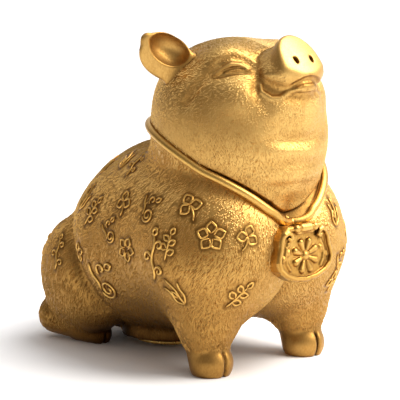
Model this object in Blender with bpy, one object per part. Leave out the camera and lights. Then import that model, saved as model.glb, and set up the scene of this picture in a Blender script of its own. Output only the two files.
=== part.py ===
"""A seated pig still bank, cast in brass: a hollow body and a hollow head that meet under a neck cord,
with set-in ears and tail, a lock-shaped pendant on the chest and a screw plug in the belly.

Metres, +Z up. The pig faces -Y, its left is +X, and the origin is on the ground under the middle of it.
"""

import math

import bmesh
import bpy
from mathutils import Euler, Matrix, Vector
from mathutils.bvhtree import BVHTree

MM = 0.001

# Driving dimensions
WALL = 4.5 * MM  # thickness of the hollow castings
GAP = 0.3 * MM  # clearance between pieces that touch
SKIN_VOXEL = 2.6 * MM
CAVITY_VOXEL = 3.6 * MM

# The seam between head and body is part of a large cylinder that runs from side to side.
SEAM_Y = 9.5 * MM
SEAM_Z = 10 * MM
SEAM_RADIUS = 111 * MM

SPIGOT_AT_Y = -42 * MM  # where the neck's middle crosses the seam
SPIGOT_RADII = (33 * MM, 37 * MM)
SPIGOT_LENGTH = 18 * MM
SPIGOT_WALL = 4 * MM
NECK_LAND = 9 * MM  # thickness of metal left either side of the seam
NECK_PIN_RADIUS = 1.5 * MM
NECK_PIN_BELOW_SEAM = 4 * MM

CORD_RADIUS = 1.6 * MM
CORD_PROUD = 0.6 * MM  # how far the cord's centre stands off the skin
CORD_POINTS = 44

SLOT_WIDTH = 5 * MM
SLOT_LENGTH = 34 * MM
SLOT_Y = 38 * MM

PLUG_Y = 14 * MM
BOSS_RADIUS = 27 * MM
BOSS_FACE_Z = 5.2 * MM
COLLAR_RADIUS = 22 * MM
COLLAR_TOP_Z = 15 * MM
PLUG_HEAD_RADIUS = 18.7 * MM
PLUG_HEAD_HEIGHT = 1.7 * MM
THREAD_RADIUS = 15.7 * MM
PLUG_TOP_Z = 14.5 * MM
WASHER_HEIGHT = 1.0 * MM
COIN_GROOVE = (26 * MM, 2.0 * MM, 1.0 * MM)  # length, width and depth

PENDANT_CENTRE = Vector((0, -86 * MM, 61 * MM))  # the middle of its face
PENDANT_TILT = math.radians(-4)  # its face looks a little upwards
PENDANT_THICKNESS = 8 * MM
PENDANT_RIM = 2.2 * MM
PENDANT_SUNK = 1.6 * MM
PENDANT_BOSS = (9 * MM, 1.2 * MM)  # radius and height of the raised ornament's ground
PENDANT_PIN_RADIUS = 1.5 * MM
PENDANT_PIN_SPACING = 20 * MM
PENDANT_PIN_SINK = 4 * MM
# The right half of the outline from the top to the foot, in millimetres across and up.
PENDANT_HALF = (
    (0, 12.3),
    (4.5, 12.0),
    (7.5, 13.9),
    (11.5, 14.0),
    (14.8, 11.4),
    (17.0, 7.5),
    (17.6, 3.6),
    (18.6, 0.6),
    (19.3, -3.0),
    (17.8, -7.2),
    (13.6, -10.8),
    (7.2, -13.2),
    (0, -14.0),
)

EAR_PEG_RADIUS = 3.5 * MM
EAR_PEG_LENGTH = 15 * MM
TAIL_ROOT = Vector((0, 84 * MM, 46 * MM))
TAIL_PEG_RADIUS = 2.2 * MM
TAIL_CURL = 7.5 * MM
PEG_PIN_RADIUS = 1.0 * MM
PEG_PIN_LENGTH = 11 * MM

# Rounded masses that make the pig: centre, radii and tilt about X in degrees. All are in millimetres.
# A mass with a centre off the middle has a twin on the other side.
TORSO_MASSES = (
    ((0, 14, 55), (53, 52, 49), -6),  # barrel
    ((20, -36, 63), (36, 43, 42), 0),  # chest and shoulder
    ((0, -40, 60), (32, 40, 28), 0),  # breast behind the pendant
    ((0, -38, 82), (40, 42, 28), 0),  # base of the neck
    ((0, -12, 61), (50, 42, 50), 0),  # girth
    ((0, 40, 39), (44, 40, 41), 0),  # rump
    ((32, 42, 37), (21, 31, 33), 0),  # haunch
)
HEAD_MASSES = (
    ((0, -38, 104), (40, 43, 32), 0),  # throat
    ((0, -38, 120), (44, 43, 36), 0),  # cheeks
    ((0, -36, 135), (37, 38, 27), 0),  # skull
)
# Tapered limbs: lower end, upper end, lower radius and upper radius.
LIMBS = (
    ((33, -51, 12), (30, -46, 50), 11.5, 24),  # foreleg
    ((33, -55, 4), (33, -51, 12), 11, 11),  # fore hoof
    ((37, 36, 6), (37, 58, 14), 9, 12),  # hind foot
)
SNOUT = ((0, -82, 155), (0, -62, 139.4), 12, 19)  # disc, root and their radii


def finish(obj, colour, roughness, metallic):
    """Gives an object its own material."""
    material = bpy.data.materials.new(obj.name)
    material.use_nodes = True
    shader = material.node_tree.nodes["Principled BSDF"]
    shader.inputs["Base Color"].default_value = (*colour, 1)
    shader.inputs["Roughness"].default_value = roughness
    shader.inputs["Metallic"].default_value = metallic
    obj.data.materials.append(material)
    return obj


def brass(obj):
    return finish(obj, (0.52, 0.30, 0.08), 0.38, 1)


def leather(obj):
    return finish(obj, (0.10, 0.055, 0.03), 0.8, 0)


def new_object(name, mesh_maker, smooth=True):
    """An object whose mesh is filled by mesh_maker(bm)."""
    bm = bmesh.new()
    mesh_maker(bm)
    bmesh.ops.recalc_face_normals(bm, faces=bm.faces)
    mesh = bpy.data.meshes.new(name)
    bm.to_mesh(mesh)
    bm.free()
    obj = bpy.data.objects.new(name, mesh)
    bpy.context.scene.collection.objects.link(obj)
    if smooth:
        mesh.shade_smooth()
        mesh.set_sharp_from_angle(angle=math.radians(40))
    return obj


def as_helper(obj):
    obj.hide_render = True
    obj.display_type = "WIRE"
    return obj


def add_mass(bm, centre, radii, tilt, shrink=0.0):
    """An ellipsoid, and its twin on the other side if it stands off the middle."""
    for side in (1, -1) if centre[0] else (1,):
        place = Vector((side * centre[0], centre[1], centre[2])) * MM
        size = Matrix.Diagonal([*(r * MM - shrink for r in radii), 1])
        turn = Euler((math.radians(tilt), 0, 0)).to_matrix().to_4x4()
        bmesh.ops.create_icosphere(
            bm, subdivisions=4, radius=1, matrix=Matrix.Translation(place) @ turn @ size
        )


def add_limb(bm, low, high, low_radius, high_radius, balls=True):
    """A cone between two points and a ball at each end, with a twin on the other side if off the middle."""
    for side in (1, -1) if low[0] else (1,):
        a = Vector((side * low[0], low[1], low[2])) * MM
        b = Vector((side * high[0], high[1], high[2])) * MM
        along = b - a
        upright = along.to_track_quat("Z", "Y").to_matrix().to_4x4()
        for place, radius in ((a, low_radius), (b, high_radius)) if balls else ():
            bmesh.ops.create_icosphere(
                bm, subdivisions=3, radius=radius * MM, matrix=Matrix.Translation(place)
            )
        bmesh.ops.create_cone(
            bm,
            cap_ends=True,
            segments=32,
            radius1=low_radius * MM,
            radius2=high_radius * MM,
            depth=along.length,
            matrix=Matrix.Translation((a + b) / 2) @ upright,
        )


def drum(name, radius, low, high, centre=(0, 0, 0), segments=40, turn=None, radius_y=None):
    """A closed round or oval cylinder from low to high along its own Z."""

    def fill(bm):
        matrix = Matrix.Translation(centre) @ (turn or Matrix.Identity(4))
        matrix = matrix @ Matrix.Translation((0, 0, (low + high) / 2))
        matrix = matrix @ Matrix.Diagonal((1, (radius_y or radius) / radius, 1, 1))
        bmesh.ops.create_cone(
            bm,
            cap_ends=True,
            segments=segments,
            radius1=radius,
            radius2=radius,
            depth=high - low,
            matrix=matrix,
        )

    return new_object(name, fill)


def block(name, low, high):
    """A box between two corners."""

    def fill(bm):
        size = Vector(high) - Vector(low)
        middle = (Vector(high) + Vector(low)) / 2
        bmesh.ops.create_cube(bm, size=1, matrix=Matrix.Translation(middle) @ Matrix.Diagonal((*size, 1)))

    return new_object(name, fill, smooth=False)


def boolean(obj, operation, other):
    modifier = obj.modifiers.new(f"{operation.lower()} {other.name}", "BOOLEAN")
    modifier.operation = operation
    modifier.solver = "EXACT"
    modifier.object = other


def melt(obj, voxel, rounds, keep):
    """Fuses the overlapping masses into one skin, softens the creases and thins the mesh."""
    remesh = obj.modifiers.new("fuse", "REMESH")
    remesh.mode = "VOXEL"
    remesh.voxel_size = voxel
    soften = obj.modifiers.new("soften", "SMOOTH")
    soften.factor = 0.5
    soften.iterations = rounds
    thin = obj.modifiers.new("thin", "DECIMATE")
    thin.ratio = keep


def evaluated_mesh(obj, name):
    """A plain mesh of an object with its modifiers applied."""
    bpy.context.view_layer.update()
    graph = bpy.context.evaluated_depsgraph_get()
    mesh = bpy.data.meshes.new_from_object(obj.evaluated_get(graph), depsgraph=graph)
    mesh.name = name
    return mesh


def copy_of(mesh, name):
    obj = bpy.data.objects.new(name, mesh.copy())
    bpy.context.scene.collection.objects.link(obj)
    return obj


def inflated(mesh, name, by):
    """A helper copy of a skin, grown along its normals."""
    obj = as_helper(copy_of(mesh, name))
    grow = obj.modifiers.new("grow", "DISPLACE")
    grow.mid_level = 0
    grow.strength = by
    return obj


def seam_cylinder(name, radius):
    """The side-to-side cylinder that divides head from body."""
    across = Matrix.Rotation(math.pi / 2, 4, "Y")
    return as_helper(
        drum(name, radius, -90 * MM, 90 * MM, (0, SEAM_Y, SEAM_Z), segments=160, turn=across)
    )


def pig_skin():
    """The whole outer form as one mesh, before it is divided."""

    def fill(bm):
        for mass in (*TORSO_MASSES, *HEAD_MASSES):
            add_mass(bm, *mass)
        for limb in LIMBS:
            add_limb(bm, *limb)
        add_limb(bm, *SNOUT, balls=False)
        bmesh.ops.create_cone(
            bm,
            cap_ends=True,
            segments=48,
            radius1=BOSS_RADIUS,
            radius2=BOSS_RADIUS + 6 * MM,
            depth=16 * MM,
            matrix=Matrix.Translation((0, PLUG_Y, BOSS_FACE_Z + 7.5 * MM)),
        )

    obj = as_helper(new_object("skin_form", fill))
    melt(obj, SKIN_VOXEL, 10, 0.1)
    return evaluated_mesh(obj, "skin")


def cavity(name, masses, keep):
    """The hollow inside a casting, as a cutter."""

    def fill(bm):
        for mass in masses:
            add_mass(bm, *mass, shrink=WALL)

    obj = as_helper(new_object(name, fill))
    melt(obj, CAVITY_VOXEL, 4, keep)
    return obj


def seam_point(y):
    """The point on the seam's middle line at y."""
    return Vector((0, y, SEAM_Z + math.sqrt(SEAM_RADIUS**2 - (y - SEAM_Y) ** 2)))


def neck_matrix():
    """A frame at the neck's middle with Z along the seam's normal and X across the pig."""
    middle = seam_point(SPIGOT_AT_Y)
    up = (middle - Vector((0, SEAM_Y, SEAM_Z))).normalized()
    across = Vector((1, 0, 0))
    turn = Matrix((across, up.cross(across), up)).transposed()
    return Matrix.Translation(middle) @ turn.to_4x4()


def cord_route(skin):
    """Points round the neck where the seam meets the skin, each lifted off it a little."""
    bm = bmesh.new()
    bm.from_mesh(skin)
    tree = BVHTree.FromBMesh(bm)
    bm.free()
    route = []
    for i in range(CORD_POINTS):
        angle = 2 * math.pi * (i + 0.5) / CORD_POINTS
        inner, outer = 0.0, 80 * MM
        for _ in range(40):  # halve the span until the skin lies between its ends
            reach = (inner + outer) / 2
            y = SPIGOT_AT_Y + reach * math.sin(angle)
            point = Vector((reach * math.cos(angle), y, seam_point(y).z))
            near, normal, _, _ = tree.find_nearest(point)
            if (point - near).dot(normal) < 0:
                inner = reach
            else:
                outer = reach
        route.append(near + normal * CORD_PROUD)
    return route


def tube(name, points, radii, cyclic=False, sides=8):
    """A round tube through points, closed on itself or with a cap at each end."""
    count = len(points)

    def fill(bm):
        rings = []
        side = Vector((0, 0, 1))
        for i in range(count):
            before = points[i - 1] if cyclic or i else points[0]
            after = points[(i + 1) % count] if cyclic or i < count - 1 else points[-1]
            along = (after - before).normalized()
            side = (side - along * side.dot(along)).normalized()
            other = along.cross(side)
            ring = []
            for j in range(sides):
                angle = 2 * math.pi * j / sides
                ring.append(bm.verts.new(points[i] + (side * math.cos(angle) + other * math.sin(angle)) * radii[i]))
            rings.append(ring)
        for i in range(count if cyclic else count - 1):
            low, high = rings[i], rings[(i + 1) % count]
            for j in range(sides):
                k = (j + 1) % sides
                bm.faces.new((low[j], low[k], high[k], high[j]))
        if not cyclic:
            bm.faces.new(rings[0][::-1])
            bm.faces.new(rings[-1])

    return new_object(name, fill)


def ear(name, root, tip, facing):
    """A cupped leaf of an ear, and the frame whose Z runs from its root into the head."""
    root = Vector(root) * MM
    tip = Vector(tip) * MM
    along = (tip - root).normalized()
    out = Vector(facing).normalized()
    out = (out - along * out.dot(along)).normalized()
    turn = Matrix((out.cross(along), out, along)).transposed().to_4x4()
    middle = root.lerp(tip, 0.42)

    def leaf(bm):
        shape = Matrix.Diagonal((13.5 * MM, 7.5 * MM, 16 * MM, 1))
        place = Matrix.Translation(middle) @ turn
        bmesh.ops.create_icosphere(bm, subdivisions=3, radius=1, matrix=place @ shape)

    def hollow(bm):
        shape = Matrix.Diagonal((10.5 * MM, 8 * MM, 12.5 * MM, 1))
        place = Matrix.Translation(middle + out * 5.5 * MM + along * MM) @ turn
        bmesh.ops.create_icosphere(bm, subdivisions=3, radius=1, matrix=place @ shape)

    obj = new_object(name, leaf)
    boolean(obj, "DIFFERENCE", as_helper(new_object(f"{name}_hollow", hollow)))
    inward = (Vector((0, -36, 130)) * MM - root).normalized()
    return obj, Matrix.Translation(root) @ inward.to_track_quat("Z", "Y").to_matrix().to_4x4()


def peg(name, radius, frame, low, high, segments=20, across=False):
    """A round peg or a cutter for one, along a frame's Z, or along its X if across."""
    turn = frame.to_3x3().to_4x4()
    if across:
        turn = turn @ Matrix.Rotation(math.pi / 2, 4, "Y")
    return drum(name, radius, low, high, frame.translation, segments=segments, turn=turn)


def set_in(piece, casting, frame, radius, length, cavity_side):
    """Gives a piece a peg through the casting's wall and the cross pin that holds it inside."""
    name = piece.name
    boolean(piece, "UNION", as_helper(peg(f"{name}_peg", radius, frame, -3 * MM, length)))
    boolean(casting, "DIFFERENCE", as_helper(peg(f"{name}_hole", radius + GAP, frame, -12 * MM, length + 2 * MM)))
    inside = frame @ Matrix.Translation((0, 0, cavity_side))
    half = PEG_PIN_LENGTH / 2
    hole = peg(f"{name}_pin_hole", PEG_PIN_RADIUS + GAP, inside, -half, half, 12, across=True)
    boolean(piece, "DIFFERENCE", as_helper(hole))
    return brass(peg(f"{name}_pin", PEG_PIN_RADIUS, inside, -half, half, 12, across=True))


def tail_route():
    """The tail leaves its root, turns upwards and curls once round on itself."""
    points = [TAIL_ROOT + Vector((0, y * MM, 0)) for y in (-3.5, -2)]
    turns = 18
    for i in range(turns + 1):
        t = i / turns
        angle = math.radians(-90 + 400 * t)
        curl = TAIL_CURL - 2.5 * MM * t
        ahead = Vector((curl * math.cos(angle), 0.5 * MM + 5.5 * MM * t, TAIL_CURL + curl * math.sin(angle)))
        points.append(TAIL_ROOT + ahead)
    return points


def pendant_frame():
    """A frame at the middle of the pendant's face: X across, Y up it, Z out of it."""
    out = Vector((0, -math.cos(PENDANT_TILT), -math.sin(PENDANT_TILT)))
    across = Vector((1, 0, 0))
    turn = Matrix((across, out.cross(across), out)).transposed()
    return Matrix.Translation(PENDANT_CENTRE) @ turn.to_4x4()


def plate(name, grow, low, high):
    """The pendant's outline, grown sideways by grow and raised from low to high out of its face."""
    half = [Vector(point) * MM for point in PENDANT_HALF]
    outline = half + [Vector((-point.x, point.y)) for point in half[-2:0:-1]]
    middle = Vector((0, 0))

    def fill(bm):
        corners = []
        for i, point in enumerate(outline):
            edge = outline[(i + 1) % len(outline)] - outline[i - 1]
            side = Vector((-edge.y, edge.x)).normalized()
            if side.dot(point - middle) < 0:
                side = -side
            place = point + side * grow
            corners.append(bm.verts.new(pendant_frame() @ Vector((place.x, place.y, low))))
        face = bm.faces.new(corners)
        raised = bmesh.ops.extrude_face_region(bm, geom=[face])["geom"]
        tops = [item for item in raised if isinstance(item, bmesh.types.BMVert)]
        bmesh.ops.translate(bm, vec=pendant_frame().to_3x3() @ Vector((0, 0, high - low)), verts=tops)

    return new_object(name, fill, smooth=False)


def make_neck(skin, body, head):
    """Parts the skin at the neck and joins its halves with a pinned spigot."""
    neck = neck_matrix()
    turn = neck.to_3x3().to_4x4()
    place = neck.translation
    boolean(body, "INTERSECT", seam_cylinder("seam_low", SEAM_RADIUS - GAP / 2))
    boolean(head, "DIFFERENCE", seam_cylinder("seam_high", SEAM_RADIUS + GAP / 2))
    wide, deep = SPIGOT_RADII
    spigot = drum("spigot", wide, -SPIGOT_LENGTH, 5 * MM, place, 32, turn, deep)
    boolean(head, "UNION", as_helper(spigot))
    socket = drum("socket", wide + GAP, -30 * MM, 4 * MM, place, 32, turn, deep + GAP)
    boolean(body, "DIFFERENCE", as_helper(socket))
    wide, deep = wide - SPIGOT_WALL, deep - SPIGOT_WALL
    throat = drum("throat", wide, -30 * MM, 12 * MM, place, 32, turn, deep)
    boolean(head, "DIFFERENCE", as_helper(throat))
    pins = []
    for i, bearing in enumerate((62, 118, -90)):
        across = Matrix.Rotation(math.radians(bearing), 4, "Z")
        reach = 47.5 * MM * math.sin(math.radians(bearing))
        below = SEAM_RADIUS - math.sqrt(SEAM_RADIUS**2 - reach**2) + NECK_PIN_BELOW_SEAM
        frame = neck @ Matrix.Translation((0, 0, -below)) @ across
        pin = brass(peg(f"neck_pin_{i + 1}", NECK_PIN_RADIUS, frame, 32 * MM, 60 * MM, 16, across=True))
        trim = as_helper(copy_of(skin, f"{pin.name}_trim"))
        boolean(pin, "INTERSECT", trim)
        pins.append(pin)
        for casting in (body, head):
            hole = peg(f"{pin.name}_{casting.name}", NECK_PIN_RADIUS + GAP, frame, 28 * MM, 60 * MM, 16, True)
            boolean(casting, "DIFFERENCE", as_helper(hole))
    return pins


def make_cord(skin, grooved):
    """A wire laid round the neck over the seam, in a groove of what it lies on."""
    route = cord_route(skin)
    brass(tube("neck_cord", route, [CORD_RADIUS] * CORD_POINTS, cyclic=True))
    groove = as_helper(tube("cord_groove", route, [CORD_RADIUS + GAP] * CORD_POINTS, cyclic=True))
    for piece in grooved:
        boolean(piece, "DIFFERENCE", groove)


def make_pendant(body, front_pin):
    """The lock-shaped pendant, let into the chest and held by two blind pins."""
    pendant = brass(plate("pendant", 0, -PENDANT_THICKNESS, 0))
    boolean(pendant, "DIFFERENCE", as_helper(plate("pendant_sunk", -PENDANT_RIM, -PENDANT_SUNK, 5 * MM)))
    frame = pendant_frame()
    turn = frame.to_3x3().to_4x4()
    radius, height = PENDANT_BOSS
    low = -PENDANT_SUNK - 1 * MM
    boss = drum("pendant_boss", radius, low, height - PENDANT_SUNK, frame.translation, 32, turn)
    boolean(pendant, "UNION", as_helper(boss))
    seat = as_helper(plate("pendant_seat", GAP, -PENDANT_THICKNESS - GAP, 30 * MM))
    for piece in (body, front_pin):
        boolean(piece, "DIFFERENCE", seat)
    for side, name in ((1, "left"), (-1, "right")):
        at = frame @ Matrix.Translation((side * PENDANT_PIN_SPACING / 2, -3 * MM, -PENDANT_THICKNESS))
        brass(peg(f"pendant_pin_{name}", PENDANT_PIN_RADIUS, at, -9 * MM, PENDANT_PIN_SINK - GAP, 16))
        hole = as_helper(peg(f"pendant_hole_{name}", PENDANT_PIN_RADIUS + GAP, at, -12 * MM, PENDANT_PIN_SINK, 16))
        boolean(body, "DIFFERENCE", hole)
        boolean(pendant, "DIFFERENCE", hole)


def make_plug(body):
    """The threaded ring in the belly, and the plug and its washer on one upright axis."""
    place = (0, PLUG_Y, 0)
    hole = as_helper(drum("collar_hole", COLLAR_RADIUS + GAP, -5 * MM, 40 * MM, place))
    boolean(body, "DIFFERENCE", hole)
    collar = brass(drum("plug_collar", COLLAR_RADIUS, BOSS_FACE_Z, COLLAR_TOP_Z, place))
    collar_bore = as_helper(drum("collar_bore", THREAD_RADIUS + GAP, 0, 40 * MM, place))
    boolean(collar, "DIFFERENCE", collar_bore)
    washer_top = BOSS_FACE_Z - GAP
    washer_low = washer_top - WASHER_HEIGHT
    head_top = washer_low - GAP
    washer = leather(drum("plug_washer", PLUG_HEAD_RADIUS, washer_low, washer_top))
    washer_bore = as_helper(drum("washer_bore", THREAD_RADIUS + GAP, 0, 40 * MM))
    boolean(washer, "DIFFERENCE", washer_bore)
    plug = brass(drum("plug", PLUG_HEAD_RADIUS, head_top - PLUG_HEAD_HEIGHT, head_top))
    thread = as_helper(drum("plug_thread", THREAD_RADIUS, head_top - 0.5 * MM, PLUG_TOP_Z))
    boolean(plug, "UNION", thread)
    length, width, depth = COIN_GROOVE
    floor = head_top - PLUG_HEAD_HEIGHT
    groove = block("coin_groove", (-length / 2, -width / 2, floor - MM), (length / 2, width / 2, floor + depth))
    boolean(plug, "DIFFERENCE", as_helper(groove))
    for obj in (washer, plug, washer_bore, thread, groove):
        obj.location = place


def stand_in_the_middle():
    """Moves everything along Y so that the pig's bounding box is centred on the origin."""
    bpy.context.view_layer.update()
    graph = bpy.context.evaluated_depsgraph_get()
    reach = []
    for obj in bpy.data.objects:
        if not obj.hide_render:
            reach += [(obj.matrix_world @ Vector(c)).y for c in obj.evaluated_get(graph).bound_box]
    middle = (min(reach) + max(reach)) / 2
    for obj in bpy.data.objects:
        obj.location.y -= middle
    print("moved along Y by", round(-middle / MM, 3), "mm")


def main():
    for obj in list(bpy.data.objects):
        bpy.data.objects.remove(obj)
    skin = pig_skin()
    body = brass(copy_of(skin, "body_casting"))
    head = brass(copy_of(skin, "head_casting"))
    pins = make_neck(skin, body, head)

    chamber = cavity("chamber", TORSO_MASSES, 0.1)
    boolean(chamber, "INTERSECT", seam_cylinder("chamber_top", SEAM_RADIUS - NECK_LAND))
    around_plug = drum("around_plug", COLLAR_RADIUS + 5 * MM, -20 * MM, COLLAR_TOP_Z, (0, PLUG_Y, 0))
    boolean(chamber, "DIFFERENCE", as_helper(around_plug))
    behind_pendant = block("behind_pendant", (-0.024, -0.1, 0.043), (0.024, -0.0725, 0.08))
    boolean(chamber, "DIFFERENCE", as_helper(behind_pendant))
    boolean(body, "DIFFERENCE", chamber)
    hollow = cavity("head_hollow", HEAD_MASSES, 0.1)
    boolean(hollow, "DIFFERENCE", seam_cylinder("hollow_floor", SEAM_RADIUS + NECK_LAND))
    boolean(head, "DIFFERENCE", hollow)

    boolean(body, "DIFFERENCE", as_helper(block("ground", (-0.2, -0.2, -0.05), (0.2, 0.2, 0))))
    slot = block(
        "slot",
        (-SLOT_WIDTH / 2, SLOT_Y - SLOT_LENGTH / 2, 75 * MM),
        (SLOT_WIDTH / 2, SLOT_Y + SLOT_LENGTH / 2, 120 * MM),
    )
    boolean(body, "DIFFERENCE", as_helper(slot))
    make_plug(body)
    make_pendant(body, pins[-1])
    make_cord(skin, (body, head, *pins))

    for name, root, tip, facing in (
        ("right_ear", (-33, -30, 146), (-46, -25, 165), (-0.35, -0.9, 0.2)),
        ("left_ear", (34, -28, 144), (52, -20, 156), (0.35, -0.9, 0.2)),
    ):
        piece, frame = ear(name, root, tip, facing)
        boolean(piece, "DIFFERENCE", inflated(skin, f"{name}_seat", GAP))
        brass(piece)
        set_in(piece, head, frame, EAR_PEG_RADIUS, EAR_PEG_LENGTH, 12 * MM)
    tail = brass(tube("tail", tail_route(), [2.8 * MM] * 2 + [(2.8 - 1.5 * i / 18) * MM for i in range(19)]))
    inward = Matrix.Translation(TAIL_ROOT) @ Matrix.Rotation(math.pi / 2, 4, "X")
    set_in(tail, body, inward, TAIL_PEG_RADIUS, 18 * MM, 15 * MM)
    stand_in_the_middle()


main()
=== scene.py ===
import math

import bmesh
import bpy
import numpy as np
from mathutils import Matrix, Vector
from mathutils.kdtree import KDTree

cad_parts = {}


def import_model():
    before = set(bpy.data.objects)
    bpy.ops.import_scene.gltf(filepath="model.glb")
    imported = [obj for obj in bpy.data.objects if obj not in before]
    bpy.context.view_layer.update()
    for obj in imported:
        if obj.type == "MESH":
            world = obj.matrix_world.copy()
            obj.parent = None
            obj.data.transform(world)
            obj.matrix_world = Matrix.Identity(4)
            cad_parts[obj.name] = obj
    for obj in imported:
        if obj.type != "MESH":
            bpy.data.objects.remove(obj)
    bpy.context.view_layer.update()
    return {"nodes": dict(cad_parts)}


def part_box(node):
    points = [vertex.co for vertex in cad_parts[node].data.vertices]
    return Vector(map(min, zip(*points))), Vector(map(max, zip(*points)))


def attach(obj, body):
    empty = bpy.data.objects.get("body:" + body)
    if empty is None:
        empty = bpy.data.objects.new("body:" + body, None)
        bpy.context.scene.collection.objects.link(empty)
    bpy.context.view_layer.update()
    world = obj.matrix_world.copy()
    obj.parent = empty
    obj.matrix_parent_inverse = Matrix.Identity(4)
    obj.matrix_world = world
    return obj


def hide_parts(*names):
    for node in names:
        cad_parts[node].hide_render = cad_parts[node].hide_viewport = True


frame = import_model()


# ---- Body casting ----
# The hollow lower casting: barrel, chest, forelegs, haunches and hind feet in cast brass, with a wall
# of 4.5 mm. The founder's model was built up from rounded masses, so the same masses make it here.
# All sculpting is in millimetres, with the pig facing -Y.
PLUG_Y = 14.0  # the plug's axis, behind the middle
FORWARD = float(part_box("plug")[0][1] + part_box("plug")[1][1]) / 2 * 1000 - PLUG_Y  # the frame's place along Y
WALL = 4.5
CORD_LIFT = 0.75  # how far the cord's middle stands out from the skin


def turned(tilt_x, lean_y, swing_z):
    """A 3 x 3 turn from three angles in degrees."""
    return np.array(
        (
            Matrix.Rotation(math.radians(swing_z), 3, "Z")
            @ Matrix.Rotation(math.radians(lean_y), 3, "Y")
            @ Matrix.Rotation(math.radians(tilt_x), 3, "X")
        )
    )


def egg(points, centre, radii, turn=(0, 0, 0)):
    """Distance to an ellipsoid."""
    near = (points - np.array(centre, float)) @ turned(*turn)
    radii = np.array(radii, float)
    scaled = np.linalg.norm(near / radii, axis=1)
    slope = np.linalg.norm(near / radii**2, axis=1)
    return scaled * (scaled - 1) / np.maximum(slope, 1e-9)


def limb(points, start, end, start_radius, end_radius):
    """Distance to a tapered rod with round ends."""
    start, end = np.array(start, float), np.array(end, float)
    along = end - start
    share = np.clip((points - start) @ along / (along @ along), 0, 1)
    reach = np.linalg.norm(points - start - share[:, None] * along, axis=1)
    return reach - (start_radius + (end_radius - start_radius) * share)


def chain(points, route, start_radius, end_radius=None):
    """Distance to a bent rod through a route, tapering evenly from joint to joint."""
    end_radius = start_radius if end_radius is None else end_radius
    radii = np.linspace(start_radius, end_radius, len(route))
    rods = [limb(points, *route[i : i + 2], radii[i], radii[i + 1]) for i in range(len(route) - 1)]
    return np.minimum.reduce(rods)


def blend(a, b, width):
    """Joins two forms with a fillet."""
    share = np.maximum(width - np.abs(a - b), 0) / width
    return np.minimum(a, b) - share * share * width / 4


def carve(a, b, width):
    """Cuts form b from form a and rounds the edge."""
    return -blend(-a, b, width)


def mirrored(points):
    """Folds the right side on to the left, so that one side's modelling makes both."""
    return np.column_stack((np.abs(points[:, 0]), points[:, 1:]))


# the crease where the barrel bulges over the haunch
HAUNCH_LINE = (
    (43.5, 44.5, 66), (45.2, 41.8, 62), (48.3, 37, 56.7), (50.2, 31.5, 50.4), (50, 26, 40.7),
    (47.3, 21.3, 31.6), (42, 18.2, 23)
)


def torso_form(points):
    q = mirrored(points)
    form = egg(q, (0, 14, 55), (53, 52, 49), (-6, 0, 0))  # barrel
    form = blend(form, egg(q, (18, -37, 63), (38, 43.5, 42)), 24)  # chest and shoulder
    form = blend(form, egg(q, (0, -8, 74), (35, 38, 28), (20, 0, 0)), 26)  # withers
    form = blend(form, egg(q, (0, 42, 40), (43, 37, 37)), 9)  # rump
    form = blend(form, limb(q, (29, -46, 50), (32, -49, 24), 23, 13), 14)  # foreleg
    form = blend(form, limb(q, (32, -49, 26), (32, -49.5, 17), 12.5, 9.6), 8)
    hoof = limb(q, (32, -48.5, 15), (32, -52.5, 6), 10.2, 11)
    hoof = np.maximum(hoof, egg(q, (32, -50, 0), (30, 30, 15.5)))
    cleft = np.maximum(np.abs(q[:, 0] - 32) - 0.35, q[:, 1] + 54)
    form = blend(form, carve(hoof, cleft, 1.6), 1.5)
    form = blend(form, egg(q, (33, 43, 36), (19.5, 31, 32)), 3)  # haunch
    form = blend(form, limb(q, (38, 62, 12), (34.5, 47, 9.5), 10.5, 9), 3)  # hind foot
    toes = limb(q, (33.5, 47, 8), (31, 36, 4.8), 9, 6.6)
    cleft = np.maximum(np.abs(q[:, 0] - 31.5) - 0.35, q[:, 1] - 40)
    form = blend(form, carve(toes, cleft, 1.8), 1.2)
    crease = chain(q, HAUNCH_LINE, 0) / 2.6
    return form + 2.4 * np.exp(-crease * crease)


def head_form(points):
    """The head's bare masses, before its features."""
    q = mirrored(points)
    form = egg(q, (0, -38, 104), (38.5, 43, 32))  # throat
    form = blend(form, egg(q, (0, -38, 120), (43.5, 43, 36)), 12)  # cheeks
    form = blend(form, egg(q, (0, -36, 135), (37, 38, 27)), 12)  # skull
    return form


def skin_form(points):
    """Body and head as one, which both castings and the cord follow."""
    return blend(torso_form(points), head_form(points), 8)


SEAM_RADIUS = 111  # the seam is an arc, seen from the side
SEAM_Y, SEAM_Z = 9.5, 10  # its centre


def seam_rise(y):
    """How high the seam's arc stands over its centre."""
    return np.sqrt(SEAM_RADIUS**2 - np.clip(y - SEAM_Y, -105, 105) ** 2)


def seam_height(x, y):
    """The seam where head and body part, under the cord: it drops forwards and ends in a V on the chest."""
    front = fade(-y, 46, 62)
    bowed = 4.2 * np.sin(np.pi * np.clip((np.abs(x) - 11) / 30, 0, 1))
    dipped = 8 * np.clip(1 - np.abs(x) / 12, 0, 1)
    return SEAM_Z + seam_rise(y) + front * (bowed - dipped)


def above_seam(points):
    """Distance above the seam."""
    x, y, z = points.T
    return (z - seam_height(x, y)) * seam_rise(y) / SEAM_RADIUS


def mix(low, high, share):
    return low + (high - low) * share


def fade(value, start, end):
    """0 before start, 1 after end, and smooth between."""
    share = np.clip((value - start) / (end - start), 0, 1)
    return share * share * (3 - 2 * share)


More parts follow.
